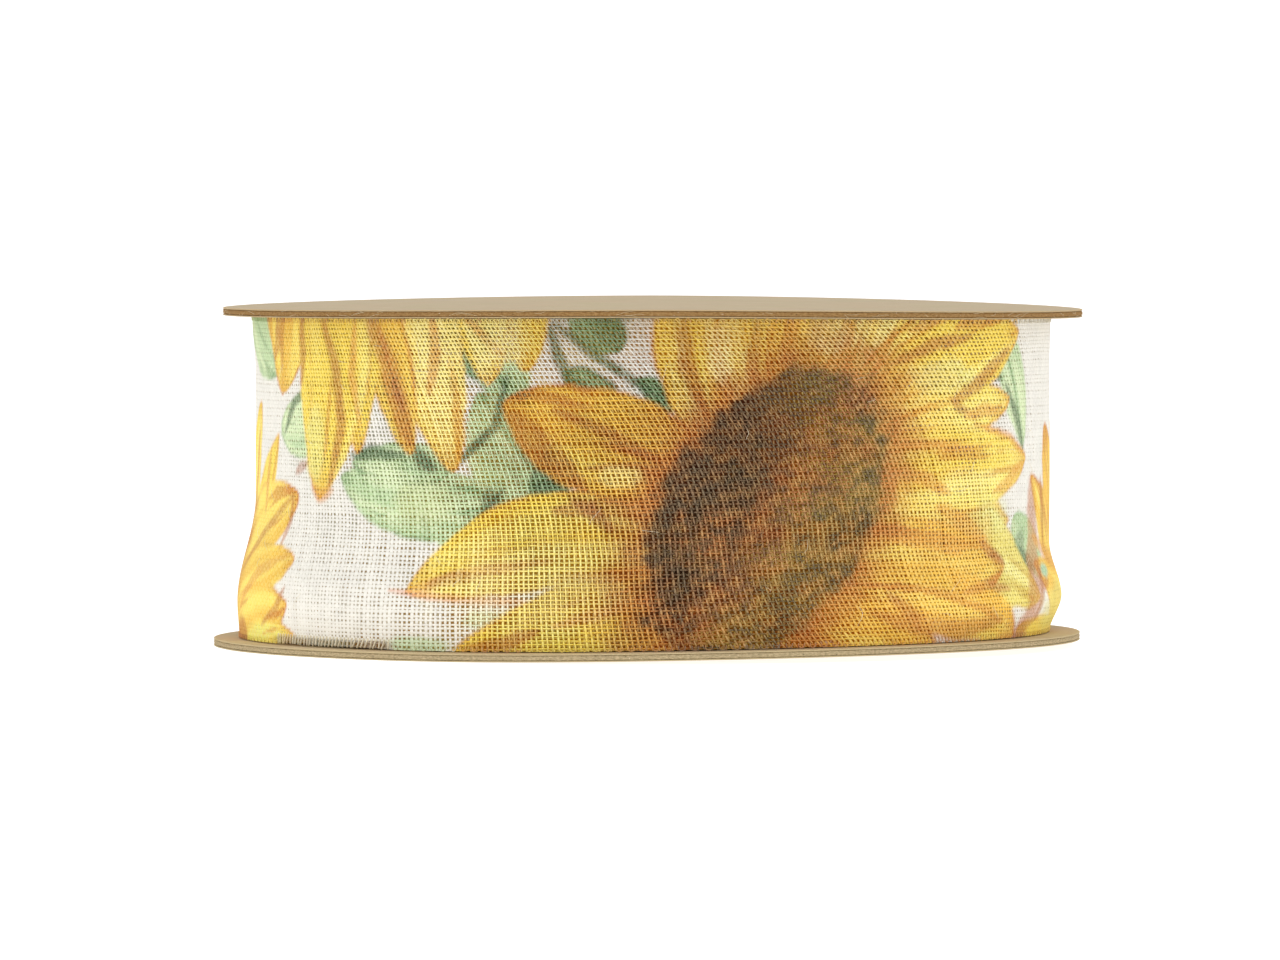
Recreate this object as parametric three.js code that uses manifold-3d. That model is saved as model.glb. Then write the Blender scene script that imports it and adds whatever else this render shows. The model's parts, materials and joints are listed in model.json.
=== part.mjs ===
// Ribbon spool: two laminated kraft boards glued on a spiral-wound tube, with a
// 40 mm open-weave ribbon wound between them. Millimetres, +Z up.
// Origin: the centre of the bottom board's outer face. The spool's axis is +Z.
// The ribbon's free end lies on the back of the roll, on the +Y side.

import * as THREE from 'three';
import { mergeVertices } from 'three/addons/utils/BufferGeometryUtils.js';
import Module from 'manifold-3d';

const wasm = await Module();
wasm.setup();

// ---- driving dimensions -------------------------------------------------

const BOARD_RADIUS = 53;
const LINING = 0.15; // one kraft lining paper
const BOARD_PLY = 0.66; // the solid board between its two linings
const RIBBON_WIDTH = 40;
const EDGE_CLEARANCE = 0.15; // between a ribbon edge and a board

const TUBE_RADIUS = 25;
const TUBE_PLY = 0.8;
const GLUE_LEG = 2.2; // the glue fillet's two legs, up the tube and along the board

const START_TAPE_THICKNESS = 0.15;
const START_TAPE_WIDTH = 24;
const START_TAPE_SWEEP = 46; // degrees round the tube
const START_TAPE_AZIMUTH = 200;

const ROLL_RADIUS = 48.2; // outside of the tightly wound turns
const LAST_TURN_THICKNESS = 0.4; // one layer of cloth, with its loft
const WAIST_RADIUS = 48.8; // outside of the slack last turn at its narrowest
const TOP_LEAN = 0.25; // how far the last turn leans out at its top edge
const FLARE = 1.8; // how far it bells out near its bottom edge
const FLARE_STARTS = 15.5; // heights above the bottom board's inner face
const FLARE_ENDS = 4;
const PROFILE_STEPS = 8;

const TAIL_INNER_RADIUS = 48.75;
const TAIL_THICKNESS = 0.5;
const TAIL_ROOT_AZIMUTH = 112; // where the free end leaves the roll
const TAIL_END_AZIMUTH = 66; // where the ribbon was cut
const TAIL_ROOT_GAP = 1.6; // degrees left free, so that the end can fold open
const TAIL_EDGE_CLEARANCE = 0.3; // the free end's edges turn past the boards

const END_TAPE_THICKNESS = 0.15;
const END_TAPE_HEIGHT = 12;
const END_TAPE_FROM = 56;
const END_TAPE_TO = 78;

const SEGMENTS = 96; // facets round the axis, the same on every ring

// ---- worked out from them -----------------------------------------------

const BOARD = BOARD_PLY + 2 * LINING;
const GAP = RIBBON_WIDTH + 2 * EDGE_CLEARANCE;
const TOP_BOARD_Z = BOARD + GAP;
const RIBBON_BOTTOM = BOARD + EDGE_CLEARANCE;
const RIBBON_TOP = RIBBON_BOTTOM + RIBBON_WIDTH;
const MID_HEIGHT = BOARD + GAP / 2;
const BORE_RADIUS = TUBE_RADIUS - 2 * TUBE_PLY;

// ---- materials ----------------------------------------------------------

function finish(colour, roughness) {
  return new THREE.MeshStandardMaterial({ color: colour, roughness, metalness: 0 });
}

const KRAFT_PAPER = [0xc3b18e, 0.85];
const SOLID_BOARD = [0x8d6b40, 0.95];
const GREY_BOARD = [0x9a948a, 0.95];
const HOT_GLUE = [0xe9dfc4, 0.35];
const PAPER_TAPE = [0xdccfa6, 0.6];
const RIBBON_CLOTH = [0xe3bf62, 0.9];
const CLEAR_TAPE = [0xf2f0e6, 0.15];

// ---- shapes -------------------------------------------------------------

// A closed profile of [radius, height] points, anticlockwise, turned round +Z.
function turned(profile) {
  const points = profile.map(([radius, height]) => new THREE.Vector2(radius, height));
  const geometry = new THREE.LatheGeometry(points, SEGMENTS);
  geometry.rotateX(Math.PI / 2);
  return geometry;
}

function disc(radius, bottom, thickness) {
  const top = bottom + thickness;
  return turned([[0, bottom], [radius, bottom], [radius, top], [0, top]]);
}

function ring(inner, outer, bottom, top) {
  return turned([[inner, bottom], [outer, bottom], [outer, top], [inner, top], [inner, bottom]]);
}

// The glue that squeezes out in the corner between the tube's bore and a board.
// side is +1 on the bottom board, where the fillet climbs, and -1 on the top one.
function glueFillet(boardFace, side) {
  const inner = BORE_RADIUS - GLUE_LEG;
  const sag = GLUE_LEG * 0.36; // the fillet is hollow, as a wetting bead is
  const profile = [
    [BORE_RADIUS, boardFace],
    [BORE_RADIUS, boardFace + side * GLUE_LEG],
    [inner + GLUE_LEG - sag, boardFace + side * sag],
    [inner, boardFace],
    [BORE_RADIUS, boardFace],
  ];
  return turned(side > 0 ? profile : profile.reverse());
}

function smoothstep(from, to, value) {
  const t = THREE.MathUtils.clamp((value - from) / (to - from), 0, 1);
  return t * t * (3 - 2 * t);
}

// The slack last turn: a waist in the middle, a slight lean at the top, and a
// bell at the bottom where the loose edge has slid outward over the board.
function lastTurnRadius(height) {
  const aboveBoard = height - BOARD;
  const bell = FLARE * smoothstep(FLARE_STARTS, FLARE_ENDS, aboveBoard);
  const lean = TOP_LEAN * smoothstep(GAP / 2, GAP, aboveBoard);
  return WAIST_RADIUS + bell + lean;
}

function lastTurnShell() {
  const outside = [];
  for (let i = 0; i <= PROFILE_STEPS; i++) {
    const height = RIBBON_BOTTOM + (RIBBON_WIDTH * i) / PROFILE_STEPS;
    outside.push([lastTurnRadius(height), height]);
  }
  const inside = outside.map(([radius, height]) => [radius - LAST_TURN_THICKNESS, height]);
  const profile = [...outside, ...inside.reverse(), outside[0]];
  return turned(profile);
}

// A tall wedge round the axis, between two azimuths in degrees from +X.
function wedge(from, to) {
  const reach = 2 * BOARD_RADIUS;
  const outline = [new THREE.Vector2(0, 0)];
  for (const azimuth of [from, (from + to) / 2, to]) {
    const angle = THREE.MathUtils.degToRad(azimuth);
    outline.push(new THREE.Vector2(reach * Math.cos(angle), reach * Math.sin(angle)));
  }
  const options = { depth: TOP_BOARD_Z + BOARD, bevelEnabled: false };
  return new THREE.ExtrudeGeometry(new THREE.Shape(outline), options);
}

// ---- booleans -----------------------------------------------------------

function toSolid(geometry) {
  const bare = geometry.clone();
  bare.deleteAttribute('normal');
  bare.deleteAttribute('uv');
  const merged = mergeVertices(bare);
  const vertProperties = new Float32Array(merged.attributes.position.array);
  const triVerts = new Uint32Array(merged.index.array);
  return new wasm.Manifold(new wasm.Mesh({ numProp: 3, vertProperties, triVerts }));
}

function toGeometry(solid) {
  const mesh = solid.getMesh();
  const geometry = new THREE.BufferGeometry();
  geometry.setAttribute('position', new THREE.BufferAttribute(mesh.vertProperties, 3));
  geometry.setIndex(new THREE.BufferAttribute(mesh.triVerts, 1));
  geometry.computeVertexNormals();
  return geometry;
}

function keptInside(geometry, cutter) {
  return toGeometry(toSolid(geometry).intersect(toSolid(cutter)));
}

function cutAway(geometry, cutter) {
  return toGeometry(toSolid(geometry).subtract(toSolid(cutter)));
}

// ---- the pieces ---------------------------------------------------------

const spool = new THREE.Group();

function add(name, geometry, [colour, roughness]) {
  const mesh = new THREE.Mesh(geometry, finish(colour, roughness));
  mesh.name = name;
  spool.add(mesh);
}

// Each board is a solid ply between two kraft papers, named by where they face.
function addBoard(end, bottom, lowerFace, upperFace) {
  add(`${end}_board_${lowerFace}_lining`, disc(BOARD_RADIUS, bottom, LINING), KRAFT_PAPER);
  add(`${end}_board_ply`, disc(BOARD_RADIUS, bottom + LINING, BOARD_PLY), SOLID_BOARD);
  const lastPaper = bottom + LINING + BOARD_PLY;
  add(`${end}_board_${upperFace}_lining`, disc(BOARD_RADIUS, lastPaper, LINING), KRAFT_PAPER);
}

function addCore() {
  const join = TUBE_RADIUS - TUBE_PLY;
  add('core_tube_inner_ply', ring(BORE_RADIUS, join, BOARD, TOP_BOARD_Z), GREY_BOARD);
  add('core_tube_outer_ply', ring(join, TUBE_RADIUS, BOARD, TOP_BOARD_Z), GREY_BOARD);
  add('bottom_glue_ring', glueFillet(BOARD, 1), HOT_GLUE);
  add('top_glue_ring', glueFillet(TOP_BOARD_Z, -1), HOT_GLUE);
}

function addStartTape() {
  const outer = TUBE_RADIUS + START_TAPE_THICKNESS;
  const half = START_TAPE_WIDTH / 2;
  const band = ring(TUBE_RADIUS, outer, MID_HEIGHT - half, MID_HEIGHT + half);
  const ends = wedge(START_TAPE_AZIMUTH, START_TAPE_AZIMUTH + START_TAPE_SWEEP);
  add('start_tape', keptInside(band, ends), PAPER_TAPE);
}

function addRibbon() {
  const inner = TUBE_RADIUS + START_TAPE_THICKNESS;
  add('ribbon_wound_turns', ring(inner, ROLL_RADIUS, RIBBON_BOTTOM, RIBBON_TOP), RIBBON_CLOTH);

  const tailSpace = wedge(TAIL_END_AZIMUTH - TAIL_ROOT_GAP, TAIL_ROOT_AZIMUTH + TAIL_ROOT_GAP);
  add('ribbon_last_turn', cutAway(lastTurnShell(), tailSpace), RIBBON_CLOTH);

  const outer = TAIL_INNER_RADIUS + TAIL_THICKNESS;
  const trim = TAIL_EDGE_CLEARANCE - EDGE_CLEARANCE;
  const band = ring(TAIL_INNER_RADIUS, outer, RIBBON_BOTTOM + trim, RIBBON_TOP - trim);
  const tail = keptInside(band, wedge(TAIL_END_AZIMUTH, TAIL_ROOT_AZIMUTH));
  add('ribbon_free_end', tail, RIBBON_CLOTH);
}

// A short clear tape, half on the free end and half past its cut edge.
function addEndTape() {
  const inner = TAIL_INNER_RADIUS + TAIL_THICKNESS;
  const half = END_TAPE_HEIGHT / 2;
  const band = ring(inner, inner + END_TAPE_THICKNESS, MID_HEIGHT - half, MID_HEIGHT + half);
  add('end_tape', keptInside(band, wedge(END_TAPE_FROM, END_TAPE_TO)), CLEAR_TAPE);
}

addBoard('bottom', 0, 'outer', 'inner');
addBoard('top', TOP_BOARD_Z, 'inner', 'outer');
addCore();
addStartTape();
addRibbon();
addEndTape();

export default spool;
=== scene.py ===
# %% [markdown]
# # A spool of printed gauze ribbon
# The real object is simple to name and hard to fake: two round kraft boards, a board tube between
# them, and fifteen metres of open, plain-woven cotton ribbon with watercolour flowers. The packed
# model already has the sizes and the one joint, so this lesson only makes the looks around it.

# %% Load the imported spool
import json
import math
from collections import namedtuple

import bpy
import numpy as np
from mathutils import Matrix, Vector


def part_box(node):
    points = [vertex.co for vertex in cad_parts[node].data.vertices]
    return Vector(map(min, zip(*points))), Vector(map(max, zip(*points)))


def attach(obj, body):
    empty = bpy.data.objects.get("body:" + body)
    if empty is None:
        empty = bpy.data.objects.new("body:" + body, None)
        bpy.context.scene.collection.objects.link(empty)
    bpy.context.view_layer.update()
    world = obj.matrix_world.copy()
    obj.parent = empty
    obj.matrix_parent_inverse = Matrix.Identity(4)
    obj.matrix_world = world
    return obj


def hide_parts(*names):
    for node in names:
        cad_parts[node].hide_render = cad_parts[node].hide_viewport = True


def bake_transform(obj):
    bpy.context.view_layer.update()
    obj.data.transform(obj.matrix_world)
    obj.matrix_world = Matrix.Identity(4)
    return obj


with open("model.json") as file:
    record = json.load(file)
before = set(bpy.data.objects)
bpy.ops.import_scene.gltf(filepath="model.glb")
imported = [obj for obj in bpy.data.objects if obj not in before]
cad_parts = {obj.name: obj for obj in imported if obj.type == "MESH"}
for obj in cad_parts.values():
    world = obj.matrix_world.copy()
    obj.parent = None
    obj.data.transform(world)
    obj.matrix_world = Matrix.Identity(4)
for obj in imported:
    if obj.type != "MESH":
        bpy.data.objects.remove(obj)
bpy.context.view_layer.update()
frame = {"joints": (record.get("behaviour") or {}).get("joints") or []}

MM = 0.001

# %% [markdown]
# ## Measures
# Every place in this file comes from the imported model. The boards give the outside radius and the
# gap, and the hinge gives the line where the ribbon's free end leaves the roll. All the shapes below
# are worked out in millimetres, because threads and papers are easier to think about that way.

# %% Measures from the frame
def node_box_mm(node):
    low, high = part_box(node)
    return np.array(low) / MM, np.array(high) / MM


BOARD_RADIUS = node_box_mm("top_board_ply")[1][0]
SPOOL_HEIGHT = node_box_mm("top_board_outer_lining")[1][2]
RIBBON_BOTTOM = node_box_mm("ribbon_wound_turns")[0][2]
RIBBON_WIDTH = node_box_mm("ribbon_wound_turns")[1][2] - RIBBON_BOTTOM
TAPE_LOW, TAPE_HIGH = node_box_mm("end_tape")
HINGE = np.array(frame["joints"][0]["pos_m"]) / MM
HINGE_RADIUS = math.hypot(HINGE[0], HINGE[1])
ROOT_AZIMUTH = math.atan2(HINGE[1], HINGE[0])
CUT_AZIMUTH = math.acos(node_box_mm("ribbon_free_end")[1][0] / (HINGE_RADIUS + 0.25))
print(f"boards {2 * BOARD_RADIUS:.0f} mm, ribbon {RIBBON_WIDTH:.0f} mm, height {SPOOL_HEIGHT:.2f} mm")
print(f"free end from {math.degrees(CUT_AZIMUTH):.0f} to {math.degrees(ROOT_AZIMUTH):.0f} degrees")

# %% [markdown]
# ## Camera
# The spool is looked at from far away through a long lens, almost level with the table. A short lens
# close by would open up the round boards into fat ellipses, so the distance matters more than the
# framing. The camera stands a little above the top board, which is why the upper face is only a sliver.

# %% Camera
CAMERA_DISTANCE = 1500
CAMERA_HEIGHT = 67.5
LENS_MM = 342.2
AIM = Vector((-1.2, 0, 20.3)) * MM

camera_data = bpy.data.cameras.new("spool_camera")
camera_data.lens = LENS_MM
camera_data.clip_end = 20
camera = bpy.data.objects.new("spool_camera", camera_data)
bpy.context.scene.collection.objects.link(camera)
camera.location = Vector((AIM.x / MM, -CAMERA_DISTANCE, CAMERA_HEIGHT)) * MM
camera.rotation_euler = (AIM - camera.location).to_track_quat("-Z", "Y").to_euler()
bpy.context.scene.camera = camera
down = math.degrees(math.atan2(CAMERA_HEIGHT - AIM.z / MM, CAMERA_DISTANCE))
print(f"camera looks down {down:.2f} degrees")

# %% [markdown]
# ## Studio
# A white table that curves up into a white wall, a white sky, and three big soft lamps: one above,
# one on each side of the camera. Soft light keeps the threads readable without hard shadows. The
# table is lit from below, as a light table is, so it stays white even in the gap under the lower
# board, where the board stands up off it.

# %% Table, wall and lamps
TABLE_FRONT = -2500
WALL_FROM = 1100
SWEEP_RADIUS = 1400
WALL_TOP = 3600
TABLE_HALF_WIDTH = 3000


def new_object(name, data):
    made = bpy.data.objects.new(name, data)
    bpy.context.scene.collection.objects.link(made)
    return made


def new_mesh(name, points, faces):
    """A smooth mesh from points in millimetres."""
    mesh = bpy.data.meshes.new(name)
    mesh.from_pydata((points * MM).tolist(), [], faces)
    mesh.shade_smooth()
    return mesh


def mesh_from_grid(name, points):
    """A sheet from an array of points [column, row, xyz] in millimetres."""
    columns, rows = points.shape[:2]
    grid = np.arange(columns * rows).reshape(columns, rows)
    quads = np.stack([grid[:-1, :-1], grid[1:, :-1], grid[1:, 1:], grid[:-1, 1:]], -1).reshape(-1, 4)
    return new_mesh(name, points.reshape(-1, 3), quads.tolist())


def backdrop():
    """A level table that bends up through a quarter circle into the wall."""
    turn = np.linspace(0, math.pi / 2, 14)
    bend = WALL_FROM + SWEEP_RADIUS * np.sin(turn)
    depth = np.concatenate([[TABLE_FRONT], bend, [WALL_FROM + SWEEP_RADIUS]])
    height = np.concatenate([[0], SWEEP_RADIUS - SWEEP_RADIUS * np.cos(turn), [WALL_TOP]])
    points = np.zeros((2, len(depth), 3))
    points[0, :, 0], points[1, :, 0] = TABLE_HALF_WIDTH, -TABLE_HALF_WIDTH
    points[:, :, 1], points[:, :, 2] = depth, height
    made = new_object("table_and_wall", mesh_from_grid("table_and_wall", points))
    paint = bpy.data.materials.new("white_table")
    paint.use_nodes = True
    shader = paint.node_tree.nodes["Principled BSDF"]
    shader.inputs["Base Color"].default_value = (0.5, 0.5, 0.497, 1)
    shader.inputs["Roughness"].default_value = 0.9
    shader.inputs["Emission Color"].default_value = (1, 1, 1, 1)
    shader.inputs["Emission Strength"].default_value = 0.78
    made.data.materials.append(paint)


def softbox(name, place, size, watts):
    """A soft lamp at a place in metres, turned to the spool."""
    lamp = bpy.data.lights.new(name, "AREA")
    lamp.shape = "RECTANGLE"
    lamp.size, lamp.size_y = size
    lamp.energy = watts
    made = new_object(name, lamp)
    made.location = Vector(place)
    toward = Vector((0, 0, 0.02)) - made.location
    made.rotation_euler = toward.to_track_quat("-Z", "Y").to_euler()


backdrop()
softbox("lamp_above", (0, -0.25, 1.2), (1.6, 1.2), 6.3)
softbox("lamp_left", (-1.1, -0.9, 0.7), (0.9, 0.9), 4.4)
softbox("lamp_right", (1.1, -0.9, 0.6), (0.9, 0.9), 4.0)
world = bpy.data.worlds.new("white_sky")
world.use_nodes = True
world.node_tree.nodes["Background"].inputs["Color"].default_value = (1, 1, 1, 1)
world.node_tree.nodes["Background"].inputs["Strength"].default_value = 0.6
bpy.context.scene.world = world
bpy.context.scene.view_settings.view_transform = "Standard"
print("three lamps, a white sky and a lit table")

# %% [markdown]
# ## Noise with numbers
# Cloth, paper and paint are never even. These helpers give smooth random values over a plane from a
# whole-number hash, so the result is the same on every run and on every computer.

# %% Noise helpers
def smooth(low, high, value):
    """Eases from 0 at low to 1 at high. With low above high it eases down instead."""
    t = np.clip((value - low) / (high - low), 0, 1)
    return t * t * (3 - 2 * t)


def lattice(i, j, seed):
    """One random value from 0 to 1 for each pair of whole numbers."""
    h = (i.astype(np.int64) * 374761393 + j.astype(np.int64) * 668265263 + seed * 974634777) & 0xFFFFFFFF
    h = ((h ^ (h >> 13)) * 1274126177) & 0xFFFFFFFF
    return ((h ^ (h >> 16)) & 0xFFFF) / 65535.0


def patches(x, y, seed):
    """Smooth random values from 0 to 1, one patch to a unit."""
    i, j = np.floor(x), np.floor(y)
    fx, fy = smooth(0, 1, x - i), smooth(0, 1, y - j)
    low = lattice(i, j, seed) * (1 - fx) + lattice(i + 1, j, seed) * fx
    high = lattice(i, j + 1, seed) * (1 - fx) + lattice(i + 1, j + 1, seed) * fx
    return low * (1 - fy) + high * fy


def clouds(x, y, seed, octaves=3):
    """Patches with finer patches on top, from 0 to 1."""
    total, weight = 0, 0
    for octave in range(octaves):
        share = 0.5**octave
        total = total + share * patches(x * 2**octave, y * 2**octave, seed + 17 * octave)
        weight += share
    return total / weight


def waver(amount, x, y, seed):
    """Clouds to both sides of zero, half the amount each way."""
    return amount * (clouds(x, y, seed) - 0.5)


def chance(count, seed):
    """A list of random numbers from 0 to 1."""
    return lattice(np.arange(count), np.full(count, seed), 40)


def chances(count, seed, how_many):
    """Several such lists, each as a column."""
    return (chance(count, seed + n)[:, None] for n in range(how_many))


print("noise sample", clouds(np.array([0.5]), np.array([0.5]), 1).round(3))

# %% [markdown]
# ## The path of the ribbon
# One strip is wound from the outside in. A point of it is given by how far it lies along the strip
# from the cut end, as an angle, and how high it lies across the width. The pitch of the spiral
# follows from the length: fifteen metres have to fit between the tube and the outside. Thin boards
# are never quite flat: the upper one bends down a little at its sides, the lower one stands up off
# the table at its right, and the soft edges of the ribbon give way to both. The front of the roll
# also sits a little to the right of the boards' middle, and the last turn is loose: it bells out low
# down and tucks in again above the lower board.

# %% The wound strip
RIBBON_LENGTH = 15_000
OUTSIDE_RADIUS = 49.15
TUBE_CLEARANCE = 25.3
ROLL_THICKNESS = OUTSIDE_RADIUS - TUBE_CLEARANCE
TURN_PITCH = math.pi * (OUTSIDE_RADIUS**2 - TUBE_CLEARANCE**2) / RIBBON_LENGTH
TURN = 2 * math.pi
FRONT = math.radians(270) - CUT_AZIMUTH
ROOT = ROOT_AZIMUTH - CUT_AZIMUTH
LEFT_SAG, RIGHT_SAG = 0.58, 0.8
ROLL_SHIFT = 0.45
CURL = 0.75
CURL_AZIMUTH = math.radians(-20)


def sag(x):
    """How far the upper board hangs down at this distance to the side."""
    return np.where(x < 0, LEFT_SAG, RIGHT_SAG) * (np.abs(x) / BOARD_RADIUS) ** 1.6


def curl(x, y):
    """How far the lower board stands up off the table."""
    toward = (x * math.cos(CURL_AZIMUTH) + y * math.sin(CURL_AZIMUTH)) / BOARD_RADIUS
    return CURL * smooth(-0.3, 1.0, toward)


def run_along(angle):
    """Length of strip from the cut end, in millimetres."""
    return OUTSIDE_RADIUS * angle - TURN_PITCH * angle**2 / (2 * TURN)


def slack(angle, height):
    """How far the loose last turn stands off the roll: a bell low down, a slight lean at the top."""
    azimuth = angle + CUT_AZIMUTH
    loose = smooth(ROOT + 0.1, ROOT + 0.9, angle) * smooth(TURN, TURN - 0.8, angle)
    left, right = np.clip(-np.cos(azimuth), 0, 1), np.clip(np.cos(azimuth), 0, 1)
    bell_from = 14.5 - 3.0 * np.cos(azimuth)
    bell = (0.95 + 1.35 * left**2 + 0.55 * right) * smooth(bell_from, 4.5, height)
    tuck = (0.25 + 1.35 * right**2) * smooth(4.6, -0.6, height)
    lean = (0.12 + 0.25 * left) * smooth(33, 40, height)
    ripple = waver(0.22, run_along(angle) / 19, height / 13, 5)
    return loose * (bell - tuck + lean + ripple)


def strip_points(angle, height, loose, lift=0.0):
    """Where points of the strip are, in millimetres. loose: for the last turn."""
    radius = OUTSIDE_RADIUS - TURN_PITCH * angle / TURN + lift
    if loose:
        radius = radius + slack(angle, height)
    azimuth = angle + CUT_AZIMUTH
    x, y = radius * np.cos(azimuth), radius * np.sin(azimuth)
    x = x + ROLL_SHIFT * smooth(44, 0, y) * (radius - TUBE_CLEARANCE) / ROLL_THICKNESS
    low = curl(x, y)
    return np.stack([x, y, RIBBON_BOTTOM + low + height * (1 - (sag(x) + low) / RIBBON_WIDTH)], -1)


print(f"turn pitch {TURN_PITCH:.3f} mm, {ROLL_THICKNESS / TURN_PITCH:.0f} turns")

# %% [markdown]
# ## The printed flowers
# The print is painted straight onto the points of the cloth, the way a screen print sits on the
# threads. First the bare cloth, then leaves and stems, then petals from the back to the front, and
# the seed heads last. Each brush only touches the points near it, and the pattern repeats along the
# strip, so a brush first brings every point to its own repeat.

# %% The cloth to paint on
REPEAT = 290
BARE_COTTON = (226, 223, 214)


def linear(rgb):
    """Everyday colour numbers from 0 to 255, as light."""
    c = np.array(rgb) / 255
    return np.where(c <= 0.04045, c / 12.92, ((c + 0.055) / 1.055) ** 2.4)


class Painting:
    """Points of the strip, u along it and v across it in millimetres, and the paint on them."""

    def __init__(self, u, v, ground):
        self.u, self.v = u.ravel(), v.ravel()
        self.paint = np.ones((self.u.size, 3)) * linear(ground)

    def near(self, points, margin):
        """The rows, u and v of the painted points near some places of the pattern."""
        low, high = np.min(points, 0) - margin, np.max(points, 0) + margin
        middle = (low[0] + high[0]) / 2
        u = (self.u - middle + REPEAT / 2) % REPEAT - REPEAT / 2 + middle
        inside = (u > low[0]) & (u < high[0]) & (self.v > low[1]) & (self.v < high[1])
        rows = np.flatnonzero(inside)
        return rows, u[rows], self.v[rows]

    def wash(self, rows, share, colour):
        """Lays a colour over the paint of some rows, as thick as its share."""
        share = np.clip(share, 0, 1)[:, None]
        self.paint[rows] += (colour - self.paint[rows]) * share


def between(share, first, second):
    """Mixes two colours, given as everyday numbers or as light, point by point."""
    share = np.clip(share, 0, 1)[:, None]
    first, second = (linear(c) if isinstance(c, tuple) else c for c in (first, second))
    return first * (1 - share) + second * share


print("bare cotton as light:", linear(BARE_COTTON).round(3))

# %% [markdown]
# A petal is a pointed shape along a bent line. Inside it thin streaks run lengthwise, the pigment
# gathers in a darker line at its rim, as watercolour does when it dries, and the root is deeper. A
# stroke is one pull of a pointed brush, and a blot is a soft patch.

# %% Petal, stroke and blot
def petal(painting, base, tip, width, colours, bend=0.0, seed=1, rim=0.5, root_depth=0.7):
    """colours: pale, middle and deep. rim: how strong the dried line is."""
    rows, u, v = painting.near((base, tip), width)
    along = np.array(tip, float) - np.array(base, float)
    length = math.hypot(*along)
    along = along / length
    t = ((u - base[0]) * along[0] + (v - base[1]) * along[1]) / length
    off = (v - base[1]) * along[0] - (u - base[0]) * along[1] - bend * length * t * (1 - t) * 4
    inside = np.clip(t, 0, 1)
    half = width / 2 * inside**0.5 * (1 - inside) ** 0.66 / 0.438
    gap = half - np.abs(off + waver(1.1, u / 4, v / 4, seed))
    gap = np.where((t > 0) & (t < 1), gap, -1)
    across = off / np.maximum(half, 0.2)
    broad = clouds(across * 2.1 + seed, t * 1.5, seed + 3)
    fine = clouds(off / 0.85 + seed, t * length / 9, seed + 5)
    pale, middle, deep = colours
    body = between(smooth(0.30, 0.62, broad), pale, middle)
    line = smooth(0.57, 0.70, clouds(across * 3.3 + seed, t * 1.0, seed + 9, 2)) * smooth(0.4, 0.6, fine)
    root = smooth(0.55, 0.1, t) * (0.3 + 1.1 * broad)
    point = smooth(0.84, 1.0, t)
    dried = smooth(1.0, 0.1, gap) * (0.25 + 0.9 * smooth(0.35, 0.65, clouds(u / 5, v / 5, seed + 7)))
    deepen = 0.75 * line + root_depth * root + 0.55 * point + rim * dried
    body = between(deepen, body, deep)
    painting.wash(rows, smooth(-0.25, 0.35, gap), body)


def stroke(painting, points, width, colour, strength):
    """A brush line through a few points, thin at both ends."""
    path = np.array(points, float)
    rows, u, v = painting.near(path, width + 1)
    best, size = np.full(u.shape, 1e9), np.zeros(u.shape)
    count = 20
    place = np.linspace(0, len(path) - 1, count + 1)
    line = np.stack([np.interp(place, range(len(path)), path[:, k]) for k in (0, 1)], -1)
    for n in range(count):
        a, d = line[n], line[n + 1] - line[n]
        t = np.clip(((u - a[0]) * d[0] + (v - a[1]) * d[1]) / (d @ d), 0, 1)
        far = np.hypot(u - a[0] - t * d[0], v - a[1] - t * d[1])
        nearer = far < best
        best = np.where(nearer, far, best)
        size = np.where(nearer, np.sin(math.pi * (n + t + 0.6) / (count + 1.2)) ** 0.5, size)
    edge = width / 2 * size + waver(0.25 * width, u / 2.0, v / 2.0, 71)
    soft = 0.15 + 0.12 * width
    dry = 0.75 + 0.5 * clouds(u / 0.9, v / 0.9, 72)
    painting.wash(rows, strength * dry * smooth(-soft, soft, edge - best), linear(colour))


def blot(painting, centre, half_wide, half_high, colour, strength):
    """A soft patch with a ragged edge."""
    rows, u, v = painting.near((centre,), 1.5 * max(half_wide, half_high))
    out = np.hypot((u - centre[0]) / half_wide, (v - centre[1]) / half_high)
    out = out + waver(0.7, u / 2.4, v / 2.4, 73)
    painting.wash(rows, strength * smooth(1.2, 0.6, out), linear(colour))


print("brushes ready")

# %% [markdown]
# The seed head is a leaning oval. It is charcoal on its upper left, where it turns from the light,
# reddish brown down its middle and olive on its right, all broken up by a grain of small seeds, with
# a burnt orange ring that bleeds into the petals.

# %% Colours and the seed head
GOLD = ((250, 228, 96), (242, 206, 58), (206, 134, 26))
PALE_GOLD = ((251, 232, 124), (245, 209, 72), (218, 150, 34))
ORANGE = ((247, 212, 74), (234, 178, 46), (194, 112, 24))
LEMON = ((240, 228, 122), (226, 207, 88), (198, 160, 46))
MINT = ((206, 226, 170), (174, 204, 146), (116, 154, 98))
FOREST = ((124, 158, 108), (84, 118, 72), (56, 80, 48))
BURNT = (176, 94, 28)
AMBER = (214, 136, 40)
RUST = (160, 84, 34)
DARK_GREEN = (66, 98, 62)


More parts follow.
